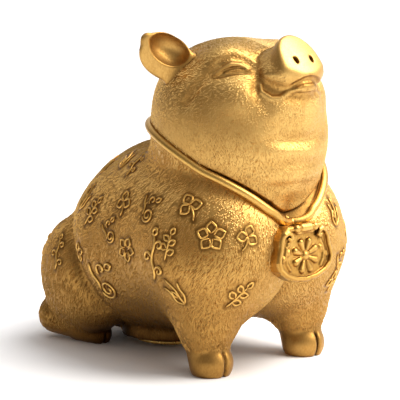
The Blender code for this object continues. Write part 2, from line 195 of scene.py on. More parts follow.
def sculpted(name, form, low, high, step):
    """A closed mesh over a form, with one vertex in each small cell that its surface crosses."""
    low, high = np.array(low, float), np.array(high, float)
    span = 8
    blocks = np.ceil((high - low) / (step * span)).astype(int)
    counts = blocks * span
    values = np.empty(counts)
    starts = np.stack(np.meshgrid(*[np.arange(n) for n in blocks], indexing="ij"), -1).reshape(-1, 3)
    middles = low + (starts + 0.5) * span * step
    distance = form(middles)
    tiled = values.reshape(blocks[0], span, blocks[1], span, blocks[2], span).transpose(0, 2, 4, 1, 3, 5)
    tiled[tuple(starts.T)] = np.sign(distance)[:, None, None, None] * 99.0
    near = starts[np.abs(distance) < step * span * 1.9]
    inner = np.stack(np.meshgrid(*[np.arange(span)] * 3, indexing="ij"), -1).reshape(-1, 3)
    for part in np.array_split(near, max(1, len(near) // 400)):
        grid = (part[:, None, :] * span + inner[None]).reshape(-1, 3)
        values[tuple(grid.T)] = form(low + grid * step)
    inside = values < 0
    corner = np.stack(np.meshgrid((0, 1), (0, 1), (0, 1), indexing="ij"), -1).reshape(-1, 3)
    total = sum(inside[tuple(slice(c, n - 1 + c) for c, n in zip(o, counts))].astype(np.int8) for o in corner)
    cells = np.argwhere((total > 0) & (total < 8))
    at = [values[tuple((cells + o).T)] for o in corner]
    place = np.zeros((len(cells), 3))
    hits = np.zeros(len(cells))
    for i in range(8):
        for j in range(i + 1, 8):
            if np.abs(corner[i] - corner[j]).sum() != 1:
                continue
            crossed = (at[i] < 0) != (at[j] < 0)
            share = np.where(crossed, at[i] / np.where(crossed, at[i] - at[j], 1), 0)
            place += crossed[:, None] * (corner[i] + share[:, None] * (corner[j] - corner[i]))
            hits += crossed
    points = low + (cells + place / hits[:, None]) * step
    number = np.full(counts, -1)
    number[tuple(cells.T)] = np.arange(len(cells))
    faces = []
    for axis in range(3):
        one, two = np.eye(3, dtype=int)[[(axis + 1) % 3, (axis + 2) % 3]]
        ahead = np.eye(3, dtype=int)[axis]
        first = inside[tuple(slice(0, n - a) for n, a in zip(counts, ahead))]
        second = inside[tuple(slice(a, n) for n, a in zip(counts, ahead))]
        edges = np.argwhere(first != second)
        edges = edges[(edges > 0).all(axis=1)]
        ring = [number[tuple((edges - a).T)] for a in (one + two, two, 0 * one, one)]
        quad = np.stack(ring, 1)
        out = first[tuple(edges.T)]
        faces.append(np.where(out[:, None], quad, quad[:, ::-1]))
    faces = np.concatenate(faces)
    faces = faces[(faces >= 0).all(axis=1)]
    for _ in range(2):  # settles the vertices on the form
        value, slope = form(points), gradient(form, points, step * 0.3)
        points -= np.clip(value / np.maximum((slope**2).sum(1), 0.2), -step, step)[:, None] * slope
    mesh = bpy.data.meshes.new(name)
    mesh.from_pydata(placed(points), [], faces.tolist())
    mesh.validate()
    mesh.shade_smooth()
    obj = bpy.data.objects.new(name, mesh)
    bpy.context.scene.collection.objects.link(obj)
    return obj


def placed(points):
    """Sculpting millimetres as metres in the frame."""
    return (np.asarray(points) + (0, FORWARD, 0)) / 1000


def gradient(form, points, reach):
    """The direction in which a form's distance grows."""
    slope = np.zeros_like(points)
    for way in ((1, -1, -1), (-1, -1, 1), (-1, 1, -1), (1, 1, 1)):
        slope += np.outer(form(points + np.array(way) * reach), way)
    return slope / (4 * reach)


def points_of(obj):
    """An object's vertices in sculpting millimetres."""
    points = np.empty(len(obj.data.vertices) * 3)
    obj.data.vertices.foreach_get("co", points)
    return points.reshape(-1, 3) * 1000 - (0, FORWARD, 0)


def record(obj, name, values):
    """Stores one number or one direction on each vertex."""
    values = np.asarray(values, float)
    kind = "FLOAT" if values.ndim == 1 else "FLOAT_VECTOR"
    layer = obj.data.attributes.new(name, kind, "POINT")
    layer.data.foreach_set("value" if values.ndim == 1 else "vector", values.ravel())


def record_wear_and_painted_shade(obj, form):
    """Stores how bare each spot's metal shows, 1 on a bare bulge. It is lower in creases and hollows, partly for
    patina kept there and partly as painted shade, and lower again as painted shade under the belly, near the
    ground and on the side away from the lights.
    """
    points = points_of(obj)
    normal = gradient(form, points, 0.5)
    normal /= np.linalg.norm(normal, axis=1)[:, None] + 1e-9
    # patina and painted shade together: darker where the form closes in within 1.5 to 10 mm along the normal,
    # like ambient occlusion
    shares = [np.clip(form(points + normal * reach) / reach, -0.2, 1) for reach in (1.5, 4, 10)]
    # painted shade: darker under the belly, towards the bottom and on the side away from the key light
    under = fade(-np.hypot(points[:, 0], points[:, 1] - PLUG_Y), -52, -38) * fade(-points[:, 2], -26, -6)
    painted_shade_by_place = (1 - 0.7 * under) * mix(0.62, 1.0, fade(points[:, 2], 0, 115)) * mix(
        0.8, 1.0, fade(points[:, 0] - 0.7 * points[:, 1], -20, 60)
    )
    record(obj, "wear_and_painted_shade", np.clip(np.mean(shares, axis=0), 0, 1) * painted_shade_by_place)
    return points


NECK_Y, NECK_WIDE, NECK_DEEP = -38, 22, 24  # the oval way through the neck
RING_HOLE, BOSS = 22.3, 26  # radii of the hole for the plug's ring, and of the boss round it


def neck_oval(points, radius):
    """Distance to an upright oval tube of this radius across."""
    return np.hypot(points[:, 0] / NECK_WIDE, (points[:, 1] - NECK_Y) / NECK_DEEP) * NECK_WIDE - radius


def body_form(points):
    skin = skin_form(points)
    seam = above_seam(points)
    wall = np.maximum(skin, seam + 0.1)
    wall = carve(wall, np.hypot(skin - CORD_LIFT, seam) - 1.9, 0.5)
    neck = neck_oval(points, NECK_WIDE)
    wall = np.minimum(wall, np.maximum(np.maximum(neck - 3.5, seam - 14), -4 - seam))  # spigot
    hollow = np.maximum(skin + WALL, -(points[:, 2] - 9.5))
    plug = np.hypot(points[:, 0], points[:, 1] - PLUG_Y)
    boss = np.maximum(plug - BOSS - 1, points[:, 2] - 15.3)
    hollow = np.maximum(hollow, -boss)
    wall = blend(wall, np.maximum(np.maximum(plug - BOSS, 5.2 - points[:, 2]), points[:, 2] - 15), 2)
    hollow = np.maximum(hollow, seam + 5)
    form = np.maximum(wall, -np.minimum(hollow, np.maximum(neck, -12 - seam)))
    form = np.maximum(form, -np.maximum(plug - RING_HOLE, points[:, 2] - 18))
    slot = np.maximum(np.abs(points[:, 0]) - 2.5, np.abs(points[:, 1] - 38) - 17)
    form = carve(form, np.maximum(slot, 75 - points[:, 2]), 0.8)
    return np.maximum(form, -points[:, 2])


body = sculpted("brass_body", body_form, (-60, -86, -2), (60, 84, 126), 1.15)
body_points = record_wear_and_painted_shade(body, skin_form)


def body_flow(points):
    """Which way the chased hair lies: back and down from the neck, and straight down on the legs."""
    low = fade(points[:, 2], 45, 15)
    flow = np.zeros_like(points)
    flow[:, 1] = mix(0.75, 0.05, low)
    flow[:, 0] = np.sign(points[:, 0]) * 0.25 * (1 - low)
    flow[:, 2] = -1.0
    return flow


def body_hair(points):
    """Where the hair is chased: not on hooves, the underside or next to the cord."""
    on_hoof = (np.abs(points[:, 1] + 50) < 14) & (points[:, 2] < 13.5) & (np.abs(points[:, 0]) > 18)
    on_foot = (points[:, 1] < 36) & (points[:, 1] > 15) & (points[:, 2] < 12) & (np.abs(points[:, 0]) > 24)
    hair = np.where(on_hoof | on_foot, 0.0, 1.0)
    hair *= fade(points[:, 2], 4, 8) * fade(np.abs(above_seam(points)), 1.8, 2.6)
    outside = np.abs(skin_form(points)) < 1.2
    slot = (np.abs(points[:, 0]) < 4) & (np.abs(points[:, 1] - 38) < 19) & (points[:, 2] > 60)
    return hair * outside * ~slot


record(body, "flow", body_flow(body_points))
record(body, "hair", body_hair(body_points))


def linear(code):
    """An sRGB hex colour as linear values with alpha."""
    parts = [int(code[i : i + 2], 16) / 255 for i in (1, 3, 5)]
    return (*(v / 12.92 if v <= 0.04045 else ((v + 0.055) / 1.055) ** 2.4 for v in parts), 1.0)


def node(tree, kind, settings=(), **links):
    """Adds a node: settings are its properties, and links its inputs, by name with _ for a space."""
    made = tree.nodes.new(kind)
    for key, value in dict(settings).items():
        setattr(made, key, value)
    for key, value in links.items():
        socket = made.inputs[int(key[1:]) if key[1:].isdigit() else key.replace("_", " ")]
        if isinstance(value, bpy.types.NodeSocket):
            tree.links.new(value, socket)
        else:
            socket.default_value = value
    return made


def ramp(tree, factor, stops):
    """A colour ramp from (place, hex colour) stops."""
    made = node(tree, "ShaderNodeValToRGB", Fac=factor)
    elements = made.color_ramp.elements
    while len(elements) < len(stops):
        elements.new(0.5)
    for element, (place, code) in zip(elements, stops):
        element.position = place
        element.color = linear(code)
    return made.outputs["Color"]


def cast_brass(name, dark, middle, bright, roughness, grain_mm, grain_depth):
    """Cast brass, chased, toned brown and rubbed back: brown stays in the hollows, and yellow metal shows on the
    bulges. The eye sees a soft golden glow broken up by fine dark grain, and never a mirror. The brown is also
    painted shade: the vertex attribute it follows darkens creases, the belly's underside, the lower parts and
    the side away from the lights."""
    material = bpy.data.materials.new(name)
    material.use_nodes = True
    tree = material.node_tree
    shader = tree.nodes["Principled BSDF"]
    shader.inputs["Metallic"].default_value = 1.0
    place = node(tree, "ShaderNodeTexCoord").outputs["Object"]
    # this attribute carries painted shade as well as patina and wear: the lower it is, the browner the metal
    wear_and_shade = node(tree, "ShaderNodeAttribute", {"attribute_name": "wear_and_painted_shade"}).outputs["Fac"]
    blotch = node(tree, "ShaderNodeTexNoise", Vector=place, Scale=1 / 0.011, Detail=3.0, Roughness=0.6)
    stretched = node(tree, "ShaderNodeMapping", Vector=place, Scale=(1.0, 1.0, 0.45))
    grain = node(
        tree,
        "ShaderNodeTexNoise",
        Vector=stretched.outputs[0],
        Scale=1000 / grain_mm,
        Detail=2.0,
        Roughness=0.55,
    )
    tone = node(
        tree, "ShaderNodeMath", {"operation": "MULTIPLY_ADD"}, _0=blotch.outputs["Fac"], _1=0.32, _2=wear_and_shade
    )
    tone = node(
        tree, "ShaderNodeMath", {"operation": "MULTIPLY_ADD"}, _0=grain.outputs["Fac"], _1=0.30,
        _2=tone.outputs[0]
    )
    tone = node(tree, "ShaderNodeMath", {"operation": "MULTIPLY"}, _0=tone.outputs[0], _1=0.66)
    colour = ramp(tree, tone.outputs[0], ((0.25, dark), (0.62, middle), (0.98, bright)))
    tree.links.new(colour, shader.inputs["Base Color"])
    rough = node(tree, "ShaderNodeMapRange", Value=grain.outputs["Fac"], From_Min=0.3, From_Max=0.7)
    rough.inputs["To Min"].default_value = roughness + 0.1
    rough.inputs["To Max"].default_value = roughness - 0.06
    tree.links.new(rough.outputs[0], shader.inputs["Roughness"])
    bump = node(
        tree, "ShaderNodeBump", Height=grain.outputs["Fac"], Strength=1.0, Distance=grain_depth / 1000
    )
    tree.links.new(bump.outputs[0], shader.inputs["Normal"])
    return material


furred_brass = cast_brass("chased_cast_brass", "#4A2C10", "#AF8444", "#E0B96F", 0.42, 0.62, 0.1)
tuft_brass = cast_brass("rubbed_brass_tufts", "#5C3A18", "#B98F4E", "#E6C47E", 0.44, 0.6, 0.04)
smooth_brass = cast_brass("filed_brass", "#523212", "#B28540", "#E6BE6C", 0.36, 0.8, 0.07)


def hair_tree():
    """Scatters chased tufts over a casting: each is a low, pointed ridge that lies along the flow."""
    tree = bpy.data.node_groups.new("chased_hair", "GeometryNodeTree")
    face = tree.interface
    face.new_socket("Geometry", in_out="INPUT", socket_type="NodeSocketGeometry")
    for name, value in (
        ("Per Square Metre", 400000.0), ("Length", 0.0035), ("Width", 0.0009), ("Height", 0.0006)
    ):
        face.new_socket(name, in_out="INPUT", socket_type="NodeSocketFloat").default_value = value
    face.new_socket("Seed", in_out="INPUT", socket_type="NodeSocketInt").default_value = 5
    face.new_socket("Metal", in_out="INPUT", socket_type="NodeSocketMaterial")
    face.new_socket("Geometry", in_out="OUTPUT", socket_type="NodeSocketGeometry")
    given = node(tree, "NodeGroupInput").outputs
    hair = node(tree, "GeometryNodeInputNamedAttribute", {"data_type": "FLOAT"}, Name="hair")
    flow = node(tree, "GeometryNodeInputNamedAttribute", {"data_type": "FLOAT_VECTOR"}, Name="flow")
    dense = node(
        tree, "ShaderNodeMath", {"operation": "MULTIPLY"}, _0=hair.outputs[0], _1=given["Per Square Metre"]
    )
    spots = node(
        tree,
        "GeometryNodeDistributePointsOnFaces",
        {"distribute_method": "RANDOM"},
        Mesh=given["Geometry"],
        Density=dense.outputs[0],
        Seed=given["Seed"],
    )
    lie = node(tree, "FunctionNodeAxesToRotation", {"primary_axis": "Z", "secondary_axis": "X"})
    tree.links.new(spots.outputs["Normal"], lie.inputs[0])
    tree.links.new(flow.outputs[0], lie.inputs[1])
    stray = node(tree, "FunctionNodeRandomValue", {"data_type": "FLOAT"}, Seed=given["Seed"])
    stray.inputs[2].default_value, stray.inputs[3].default_value = -0.3, 0.3
    twist = node(tree, "ShaderNodeCombineXYZ", Z=stray.outputs[1])
    lie = node(tree, "FunctionNodeRotateRotation", {"rotation_space": "LOCAL"}, Rotation=lie.outputs[0])
    turn = node(tree, "FunctionNodeEulerToRotation", Euler=twist.outputs[0])
    tree.links.new(turn.outputs[0], lie.inputs[1])
    size = node(tree, "FunctionNodeRandomValue", {"data_type": "FLOAT"}, Seed=given["Seed"])
    size.inputs[2].default_value, size.inputs[3].default_value = 0.65, 1.3
    tuft = node(tree, "GeometryNodeMeshCone", Vertices=3, Side_Segments=1, Radius_Bottom=0.5, Depth=1.0)
    scale = node(tree, "ShaderNodeCombineXYZ", X=given["Length"], Y=given["Width"], Z=given["Height"])
    tuft = node(tree, "GeometryNodeTransform", Geometry=tuft.outputs[0], Scale=scale.outputs[0])
    tufts = node(
        tree,
        "GeometryNodeInstanceOnPoints",
        Points=spots.outputs[0],
        Instance=tuft.outputs[0],
        Rotation=lie.outputs[0],
        Scale=size.outputs[1],
    )
    real = node(tree, "GeometryNodeRealizeInstances", Geometry=tufts.outputs[0])
    clad = node(tree, "GeometryNodeSetMaterial", Geometry=real.outputs[0], Material=given["Metal"])
    node(tree, "NodeGroupOutput", Geometry=clad.outputs[0])
    return tree


chased_hair = hair_tree()


def grown(name, source, tree, values):
    """The plain mesh that a geometry tree makes from a piece, as a piece of its own."""
    carrier = bpy.data.objects.new(name, source.data.copy())
    bpy.context.scene.collection.objects.link(carrier)
    modifier = carrier.modifiers.new("grow", "NODES")
    modifier.node_group = tree
    for item in tree.interface.items_tree:
        if item.item_type == "SOCKET" and item.in_out == "INPUT" and item.name in values:
            modifier[item.identifier] = values[item.name]
    bpy.context.view_layer.update()
    graph = bpy.context.evaluated_depsgraph_get()
    mesh = bpy.data.meshes.new_from_object(carrier.evaluated_get(graph), depsgraph=graph)
    bpy.data.objects.remove(carrier)
    made = bpy.data.objects.new(name, mesh)
    bpy.context.scene.collection.objects.link(made)
    return made


body.data.materials.append(furred_brass)
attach(body, "bank")
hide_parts("body_casting")


# ---- Relief ornaments ----
# Low raised ornaments scattered over the body: scrolls, sprigs, blossoms and vines, cast with it and
# brightened along their crests. Each stroke is a half-round ridge about 1.3 mm wide.
def curl(x, y, radius, start, turns, shrink=0.25):
    """A spiral in the ornament's plane."""
    steps = np.linspace(0, 1, max(8, int(abs(turns) * 14)))
    angle = math.radians(start) + 2 * math.pi * turns * steps
    reach = radius * (1 - (1 - shrink) * steps)
    return np.column_stack((x + reach * np.cos(angle), y + reach * np.sin(angle)))


def loop(x, y, wide, tall, lean=0.0):
    """A closed oval."""
    angle = np.linspace(0, 2 * math.pi, 15)
    across, up = wide * np.cos(angle), tall * np.sin(angle)
    return np.column_stack((x + across + lean * up, y + up))


def leaf(x, y, long, wide, lean):
    """A pointed leaf's outline, from its foot."""
    turn = np.linspace(0, 2 * math.pi, 17)
    along, across = long * (1 - np.cos(turn)) / 2, wide * np.sin(turn) ** 3
    lean = math.radians(lean)
    return np.column_stack(
        (
            x + along * math.cos(lean) - across * math.sin(lean),
            y + along * math.sin(lean) + across * math.cos(lean)
        )
    )


MOTIFS = {
    "scroll": (
        curl(0.25, -0.45, 0.62, 200, 1.6),
        [(-0.9, 1.0), (-0.75, 0.35), (-0.35, 0.0), (-0.33, -0.6)],
        curl(0.1, 0.75, 0.4, 240, -1.0),
        leaf(0.45, 0.85, 0.65, 0.2, 25),
    ),
    "blossom": tuple(
        leaf(0.2 * math.cos(turn), 0.2 * math.sin(turn), 0.85, 0.36, math.degrees(turn))
        for turn in np.arange(5) * 1.2566 + 1.57
    ),
    "sprig": (
        [(-0.3, -1.3), (-0.1, -0.4), (0.0, 0.4), (0.15, 0.9)],
        leaf(-0.18, -0.7, 0.8, 0.26, 20),
        leaf(-0.15, -0.35, 0.8, 0.26, 155),
        leaf(-0.05, 0.05, 0.75, 0.24, 25),
        leaf(0.0, 0.35, 0.7, 0.24, 148),
        leaf(0.13, 0.8, 0.65, 0.22, 72),
    ),
    "trefoil": (
        leaf(0, 0.1, 0.95, 0.4, 90),
        leaf(0, 0.1, 0.95, 0.4, 200),
        leaf(0, 0.1, 0.95, 0.4, -20),
        [(0, 0.1), (0.1, -0.6), (-0.15, -1.2)],
    ),
    "flame": (
        [(0, -1.2), (-0.5, -0.6), (-0.2, 0.1), (-0.5, 0.8)],
        [(0, -1.2), (0.08, -0.5), (0.32, 0.1), (0.1, 1.25)],
        [(0, -1.2), (0.6, -0.7), (0.62, -0.1), (0.9, 0.45)],
        leaf(-0.05, -0.5, 0.7, 0.16, 95),
    ),
    "vine": (
        [(-0.1, -1.4), (0.16, -0.8), (-0.16, -0.1), (0.12, 0.6), (-0.05, 1.2)],
        curl(0.45, -0.75, 0.3, 180, -1.2),
        curl(-0.5, -0.05, 0.3, 0, 1.2),
        curl(0.42, 0.65, 0.28, 180, -1.2),
        leaf(-0.05, 1.1, 0.5, 0.18, 80),
    ),
}
# each ornament as (bearing, height angle, motif, half size in millimetres, spin), from the barrel's middle
ORNAMENTS = (
    (-137, 44, "flame", 6, 20), (-112, 53, "flame", 5.5, 30), (-91, 51, "vine", 5.5, 10), (
        -110, 20, "sprig", 6.5, -15
    ),
    (-81, 28, "trefoil", 6, 10), (-61, 24, "scroll", 6.2, -10), (-41, 23, "trefoil", 6.6, 30), (
        -126, 25, "flame", 6.5, -10
    ),
    (-132, -5, "vine", 6.5, 5), (-118, -3, "blossom", 5, 0), (-74, 5, "blossom", 6, -25), (
        -56, 4, "vine", 9, 0
    ),
    (-49, 9, "sprig", 6, 0), (-34, 12, "blossom", 6.8, 0), (-22, 11, "trefoil", 6, -20), (
        -100, -17, "scroll", 9.5, 0
    ),
    (-47, -9, "flame", 6.5, 40), (-24, -9, "sprig", 6.5, -30), (20, 15, "flame", 6, 0), (
        24, -3, "scroll", 5, 0
    ),
    (-90, 12, "scroll", 5.5, 20), (40, 24, "scroll", 6.5, 0), (36, 6, "blossom", 6, 15), (
        58, 8, "vine", 8, 0
    ),
    (62, 26, "sprig", 6, 10), (80, 30, "trefoil", 6, -10), (78, 6, "scroll", 6, 0), (92, 51, "flame", 6, -10),
    (98, -15, "scroll", 9, 180), (100, 14, "blossom", 6, 0), (114, 28, "vine", 6.5, 10), (
        114, 52, "trefoil", 5.5, 0
    ),
    (126, 4, "sprig", 6.5, 0), (136, 36, "scroll", 6, 0), (146, 12, "trefoil", 6, 15), (
        158, 40, "blossom", 6, 0
    ),
    (165, 8, "flame", 6.5, 0), (-156, 30, "sprig", 6, 0), (-162, 6, "trefoil", 6, 0), (
        46, -9, "sprig", 6, 20
    ),
    (128, -12, "blossom", 5.5, 0), (-150, -4, "scroll", 6, 0), (150, -8, "flame", 6, 0), (
        24, -10, "trefoil", 5.5, 10
    ),
)


def settled(form, route):
    """A route's points moved on to a form."""
    points = np.array(route, float)
    for _ in range(6):
        slope = gradient(form, points, 0.4)
        points -= (form(points) / np.maximum((slope**2).sum(1), 0.3))[:, None] * slope
    return points


def meshed(name, points, faces):
    """A smooth-shaded object from points in sculpting millimetres."""
    mesh = bpy.data.meshes.new(name)
    mesh.from_pydata(placed(points), [], faces)
    mesh.validate()
    tidy = bmesh.new()
    tidy.from_mesh(mesh)
    bmesh.ops.recalc_face_normals(tidy, faces=tidy.faces)
    tidy.to_mesh(mesh)
    tidy.free()
    mesh.shade_smooth()
    obj = bpy.data.objects.new(name, mesh)
    bpy.context.scene.collection.objects.link(obj)
    return obj


def on_skin(origin, ways):
    """Where rays from a point inside leave the body."""
    near, far = np.full(len(ways), 10.0), np.full(len(ways), 120.0)
    for _ in range(36):
        reach = (near + far) / 2
        inside = torso_form(origin + reach[:, None] * ways) < 0
        near, far = np.where(inside, reach, near), np.where(inside, far, reach)
    return origin + near[:, None] * ways


def fine_route(line, size):
    """A line with a point every 0.9 mm or so, its corners rounded off."""
    line = np.array(line, float) * size
    for _ in range(2 if len(line) < 8 else 0):
        rounded = [(0.75 * a + 0.25 * b, 0.25 * a + 0.75 * b) for a, b in zip(line[:-1], line[1:])]
        line = np.vstack([line[:1], *map(np.array, rounded), line[-1:]])
    run = np.concatenate(((0,), np.cumsum(np.linalg.norm(np.diff(line, axis=0), axis=1))))
    marks = np.linspace(0, run[-1], max(4, int(run[-1] / 0.9)))
    return np.column_stack([np.interp(marks, run, line[:, i]) for i in range(2)])


RIDGE = ((-1.05, -0.4), (-0.72, 0.75), (0, 1.2), (0.72, 0.75), (1.05, -0.4), (0, -0.6))
relief_points, relief_faces, relief_spine = [], [], []
middle = np.array((0, 0, 55.0))
for bearing, height, motif, size, spin in ORNAMENTS:
    bearing, height, spin = (math.radians(v) for v in (bearing, height, spin))
    way = np.array(
        (math.sin(bearing) * math.cos(height), -math.cos(bearing) * math.cos(height), math.sin(height))
    )
    spot = on_skin(middle, way[None])
    out = gradient(torso_form, spot, 1.0)[0]
    out /= np.linalg.norm(out)
    across = np.cross((0, 0, 1), out)
    across /= np.linalg.norm(across)
    up = np.cross(out, across)
    across, up = across * math.cos(spin) + up * math.sin(spin), up * math.cos(spin) - across * math.sin(spin)
    for line in MOTIFS[motif]:
        flat = fine_route(line, size)
        route = spot + flat[:, :1] * across + flat[:, 1:] * up
        route = settled(torso_form, route)
        lift = gradient(torso_form, route, 0.5)
        lift /= np.linalg.norm(lift, axis=1)[:, None]
        ahead = np.gradient(route, axis=0)
        ahead /= np.linalg.norm(ahead, axis=1)[:, None] + 1e-9
        side = np.cross(ahead, lift)
        thin = np.minimum(1, 0.45 + 0.4 * np.minimum(np.arange(len(route)), np.arange(len(route))[::-1]))
        thin = thin * (0.62 if size < 7 else 0.8)
        first = len(relief_points) * len(RIDGE)
        relief_spine += route.tolist()
        for k in range(len(route)):
            relief_points.append([route[k] + thin[k] * (a * side[k] + h * lift[k]) for a, h in RIDGE])
        for k in range(len(route) - 1):
            for i in range(6):
                j = (i + 1) % 6
                start = first + k * 6
                relief_faces.append((start + i, start + j, start + 6 + j, start + 6 + i))
        relief_faces += [
            tuple(first + i for i in range(6)), tuple(first + (len(route) - 1) * 6 + i for i in range(6))
        ]
relief = meshed("brass_relief", np.array(relief_points).reshape(-1, 3), relief_faces)
heights = torso_form(points_of(relief))
record(relief, "wear_and_painted_shade", fade(heights, -0.1, 0.6))  # bright along its crest
relief_brass = cast_brass("raised_relief_brass", "#3E220C", "#B07C3A", "#E9BE68", 0.34, 0.7, 0.04)
relief.data.materials.append(relief_brass)
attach(relief, "bank")


# ---- Chased coat ----
# Thousands of short strokes chased into the cold casting with a punch. They leave the ornaments bare,
# and the ground beside each raised stroke holds brown patina.
beside = KDTree(len(relief_spine))
for i, spot in enumerate(relief_spine):
    beside.insert(spot, i)
beside.balance()
gaps = np.array([beside.find(spot)[2] for spot in body_points])
wear_and_shade = np.empty(len(body_points))
body.data.attributes["wear_and_painted_shade"].data.foreach_get("value", wear_and_shade)
body.data.attributes["wear_and_painted_shade"].data.foreach_set("value", wear_and_shade * (1 - 0.6 * (1 - fade(gaps, 0.9, 2.4))))
body.data.attributes["hair"].data.foreach_set("value", body_hair(body_points) * fade(gaps, 1.2, 2.6))
tufts = grown(
    "brass_body_tufts", body, chased_hair,
    {
        "Per Square Metre": 800000.0, "Length": 0.0034, "Width": 0.0006, "Height": 0.0003,
        "Metal": tuft_brass, "Seed": 3
    }
)
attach(tufts, "bank")


# ---- Head casting ----
# The hollow upper casting in the same brass, modelled with a smiling, upturned face. An oval spigot
# inside the neck holds it on the body, and the joint is hidden under the cord.
DISC = np.array([0, -82.0, 155.0])  # middle of the snout's flat end
DISC_OUT = np.array([0, -0.788, 0.616])
DISC_UP = np.array([0, 0.616, 0.788])


def head_masses(points):
    """The head's rounded masses before any line is drawn on it."""
    q = mirrored(points)
    form = head_form(points)
    form = blend(form, egg(q, (20, -56.5, 134.5), (13.5, 15, 12.5)), 5)  # cheek
    form = blend(form, egg(q, (18, -47.5, 151.5), (11, 12, 9)), 6)  # brow
    form = blend(form, egg(q, (0, -66.5, 131), (21.5, 18, 13)), 6)  # jaw
    form = blend(form, egg(q, (0, -74, 122), (10.5, 8.5, 7)), 4)  # fat under the chin
    rise = (q - DISC) @ DISC_UP
    tall = q - 0.12 * rise[:, None] * DISC_UP
    snout = limb(tall, DISC - DISC_OUT * 1.5, DISC - DISC_OUT * 9, 12.8, 10.8)
    snout = blend(snout, limb(tall, DISC - DISC_OUT * 8, DISC - DISC_OUT * 26, 11, 19), 5)
    snout = blend(snout, egg(q, (0, -73.8, 147.2), (17, 13.6, 6.8)), 6)  # upper lip
    across = q[:, 0] ** 2 + (rise * 0.8) ** 2
    end = (q - DISC) @ DISC_OUT + 0.011 * across - 0.6
    snout = carve(snout, -end, 2.0 + 6.5 * fade(-rise, 3, 11))
    return blend(form, snout, 3.5)


def lines_on(form, lines):
    """Each line as (its route on the form, depth, width): a depth below 0 is a ridge."""
    return [(settled(form, route), depth, width) for route, depth, width in lines]


FACE = lines_on(
    head_masses,
    (
        # the fold over the eye, and the soft hollow under it
        (
            (
                (41, -44, 133), (39.5, -46.7, 138), (36.7, -48.6, 142.4), (31.8, -51.3, 147.7),
                (27, -53.3, 151.4)
            ),
            1.9, 2.3
        ),
        (((27, -53.3, 151.4), (22.5, -55.5, 153.8), (19, -59.5, 153.4), (17.2, -64.2, 151.8)), 2.2, 2.0),
        # upper lid, its fold, slit and lower lid of the closed eye
        (
            (
                (32, -53.8, 145.8), (28.6, -55.6, 149.3), (24.6, -57.8, 151.4), (21.2, -61.2, 151.3),
                (19.4, -64.8, 149.4)
            ),
            -1.8, 1.05
        ),
        (((28.6, -56.6, 148), (26, -58.4, 149.6), (23, -61, 150), (20.6, -63.6, 149.6)), 1.6, 0.62),
        (((28, -57.6, 147.4), (25.4, -59.8, 148.5), (22.6, -62.2, 148.9), (20.4, -64.4, 148.8)), -0.9, 0.7),
        (
            (
                (32, -53.9, 145.4), (29, -57.2, 146.1), (26.2, -59.8, 147), (23.1, -62.4, 147.6),
                (19.4, -65.7, 148.2)
            ),
            2.7, 0.75
        ),
        # the smile between cheek and muzzle
        (((16.8, -66.9, 150.5), (19.6, -70.6, 146.1), (21.4, -72.6, 141.5)), 0.8, 2.2),
        (((21.4, -72.6, 141.5), (21.4, -74.4, 136), (19, -77, 131)), 0.8, 3.2),
        # wrinkles over the bridge of the snout
        (((0, -60, 161), (7, -61, 160), (12.5, -63, 156), (15, -65.5, 152.5)), 0.8, 1.3),
        # lower lip, curling up round the corner of the mouth
        (
            (
                (19.6, -73, 143), (20.2, -74.8, 140.4), (17, -78.4, 137), (13.4, -81.2, 137),
                (10, -83.4, 138.8), (6.2, -84.8, 140.2), (0, -85.4, 140.8)
            ),
            -1.7, 1.05
        ),
    ),
)
EYE_FOLD = 3  # its place in FACE
MOUTH = (
    (19, -75, 140.8), (16.6, -78, 139), (13.4, -81, 139.2), (10.2, -83.4, 141), (6.8, -85.4, 143.2),
    (3.4, -86.8, 144.6), (0, -87.2, 144.9)
)


FOLDS = lines_on(
    head_masses,
    (
        (((27, -60, 117), (12, -72, 115.6), (0, -76, 115)), 1.5, 2.8),
        (((29, -58, 107), (13, -73, 105.2), (0, -78, 104.4)), 1.2, 2.8),
        (((29, -58, 98), (13, -73, 95), (0, -78, 94)), 0.8, 2.8),
        (((27, -60, 111.5), (11, -74, 110.6), (0, -78, 110.2)), -0.6, 3.2),
    ),
)


def head_sculpt(points):
    """The head's masses with its face."""
    q = mirrored(points)
    form = head_masses(points)
    near = np.flatnonzero(np.abs(form) < 12)
    drawn = np.zeros(len(points))
    for route, depth, width in FACE:
        reach = chain(q[near], route, 0) / width
        drawn[near] += depth * np.exp(-reach * reach)
    for route, depth, width in FOLDS:
        reach = chain(q[near], route, 0) / width
        drawn[near] += depth * np.exp(-reach * reach) * fade(-q[near, 0], -28, -6)
    form = form + drawn * fade(above_seam(points), 2.5, 8)
    form = carve(form, chain(q, MOUTH, 0.5, 2.1), 0.9)
    nostril = DISC + np.array((5.1, 0, 0)) - DISC_UP * 0.9 - DISC_OUT * 0.2
    return carve(form, egg(q, nostril, (1.15, 2.4, 2.0), (-38, 6, 0)), 0.7)


def whole_skin(points):
    return blend(torso_form(points), head_sculpt(points), 8)


def head_casting_form(points):
    skin = whole_skin(points)
    seam = above_seam(points)
    form = np.maximum(skin, 0.1 - seam)
    groove = np.hypot(skin_form(points) - CORD_LIFT, seam) - 1.9
    form = carve(form, groove, 0.5)
    form = np.maximum(form, -np.maximum(head_form(points) + 8, 12 - seam))
    neck = neck_oval(points, NECK_WIDE + 3.8)
    return np.maximum(form, -np.maximum(neck, seam - 15))


head = sculpted("brass_head", head_casting_form, (-47, -92, 72), (47, 10, 168), 0.72)
head_points = record_wear_and_painted_shade(head, whole_skin)


def head_flow(points):
    """Hair on the head runs back from the snout over the face, and straight down the throat."""
    flow = np.zeros_like(points)
    face = fade(points[:, 2], 115, 140)
    flow[:, 0] = np.sign(points[:, 0]) * 0.6 * face
    flow[:, 1] = 0.9 * face
    flow[:, 2] = mix(-1.0, -0.25, face)
    return flow


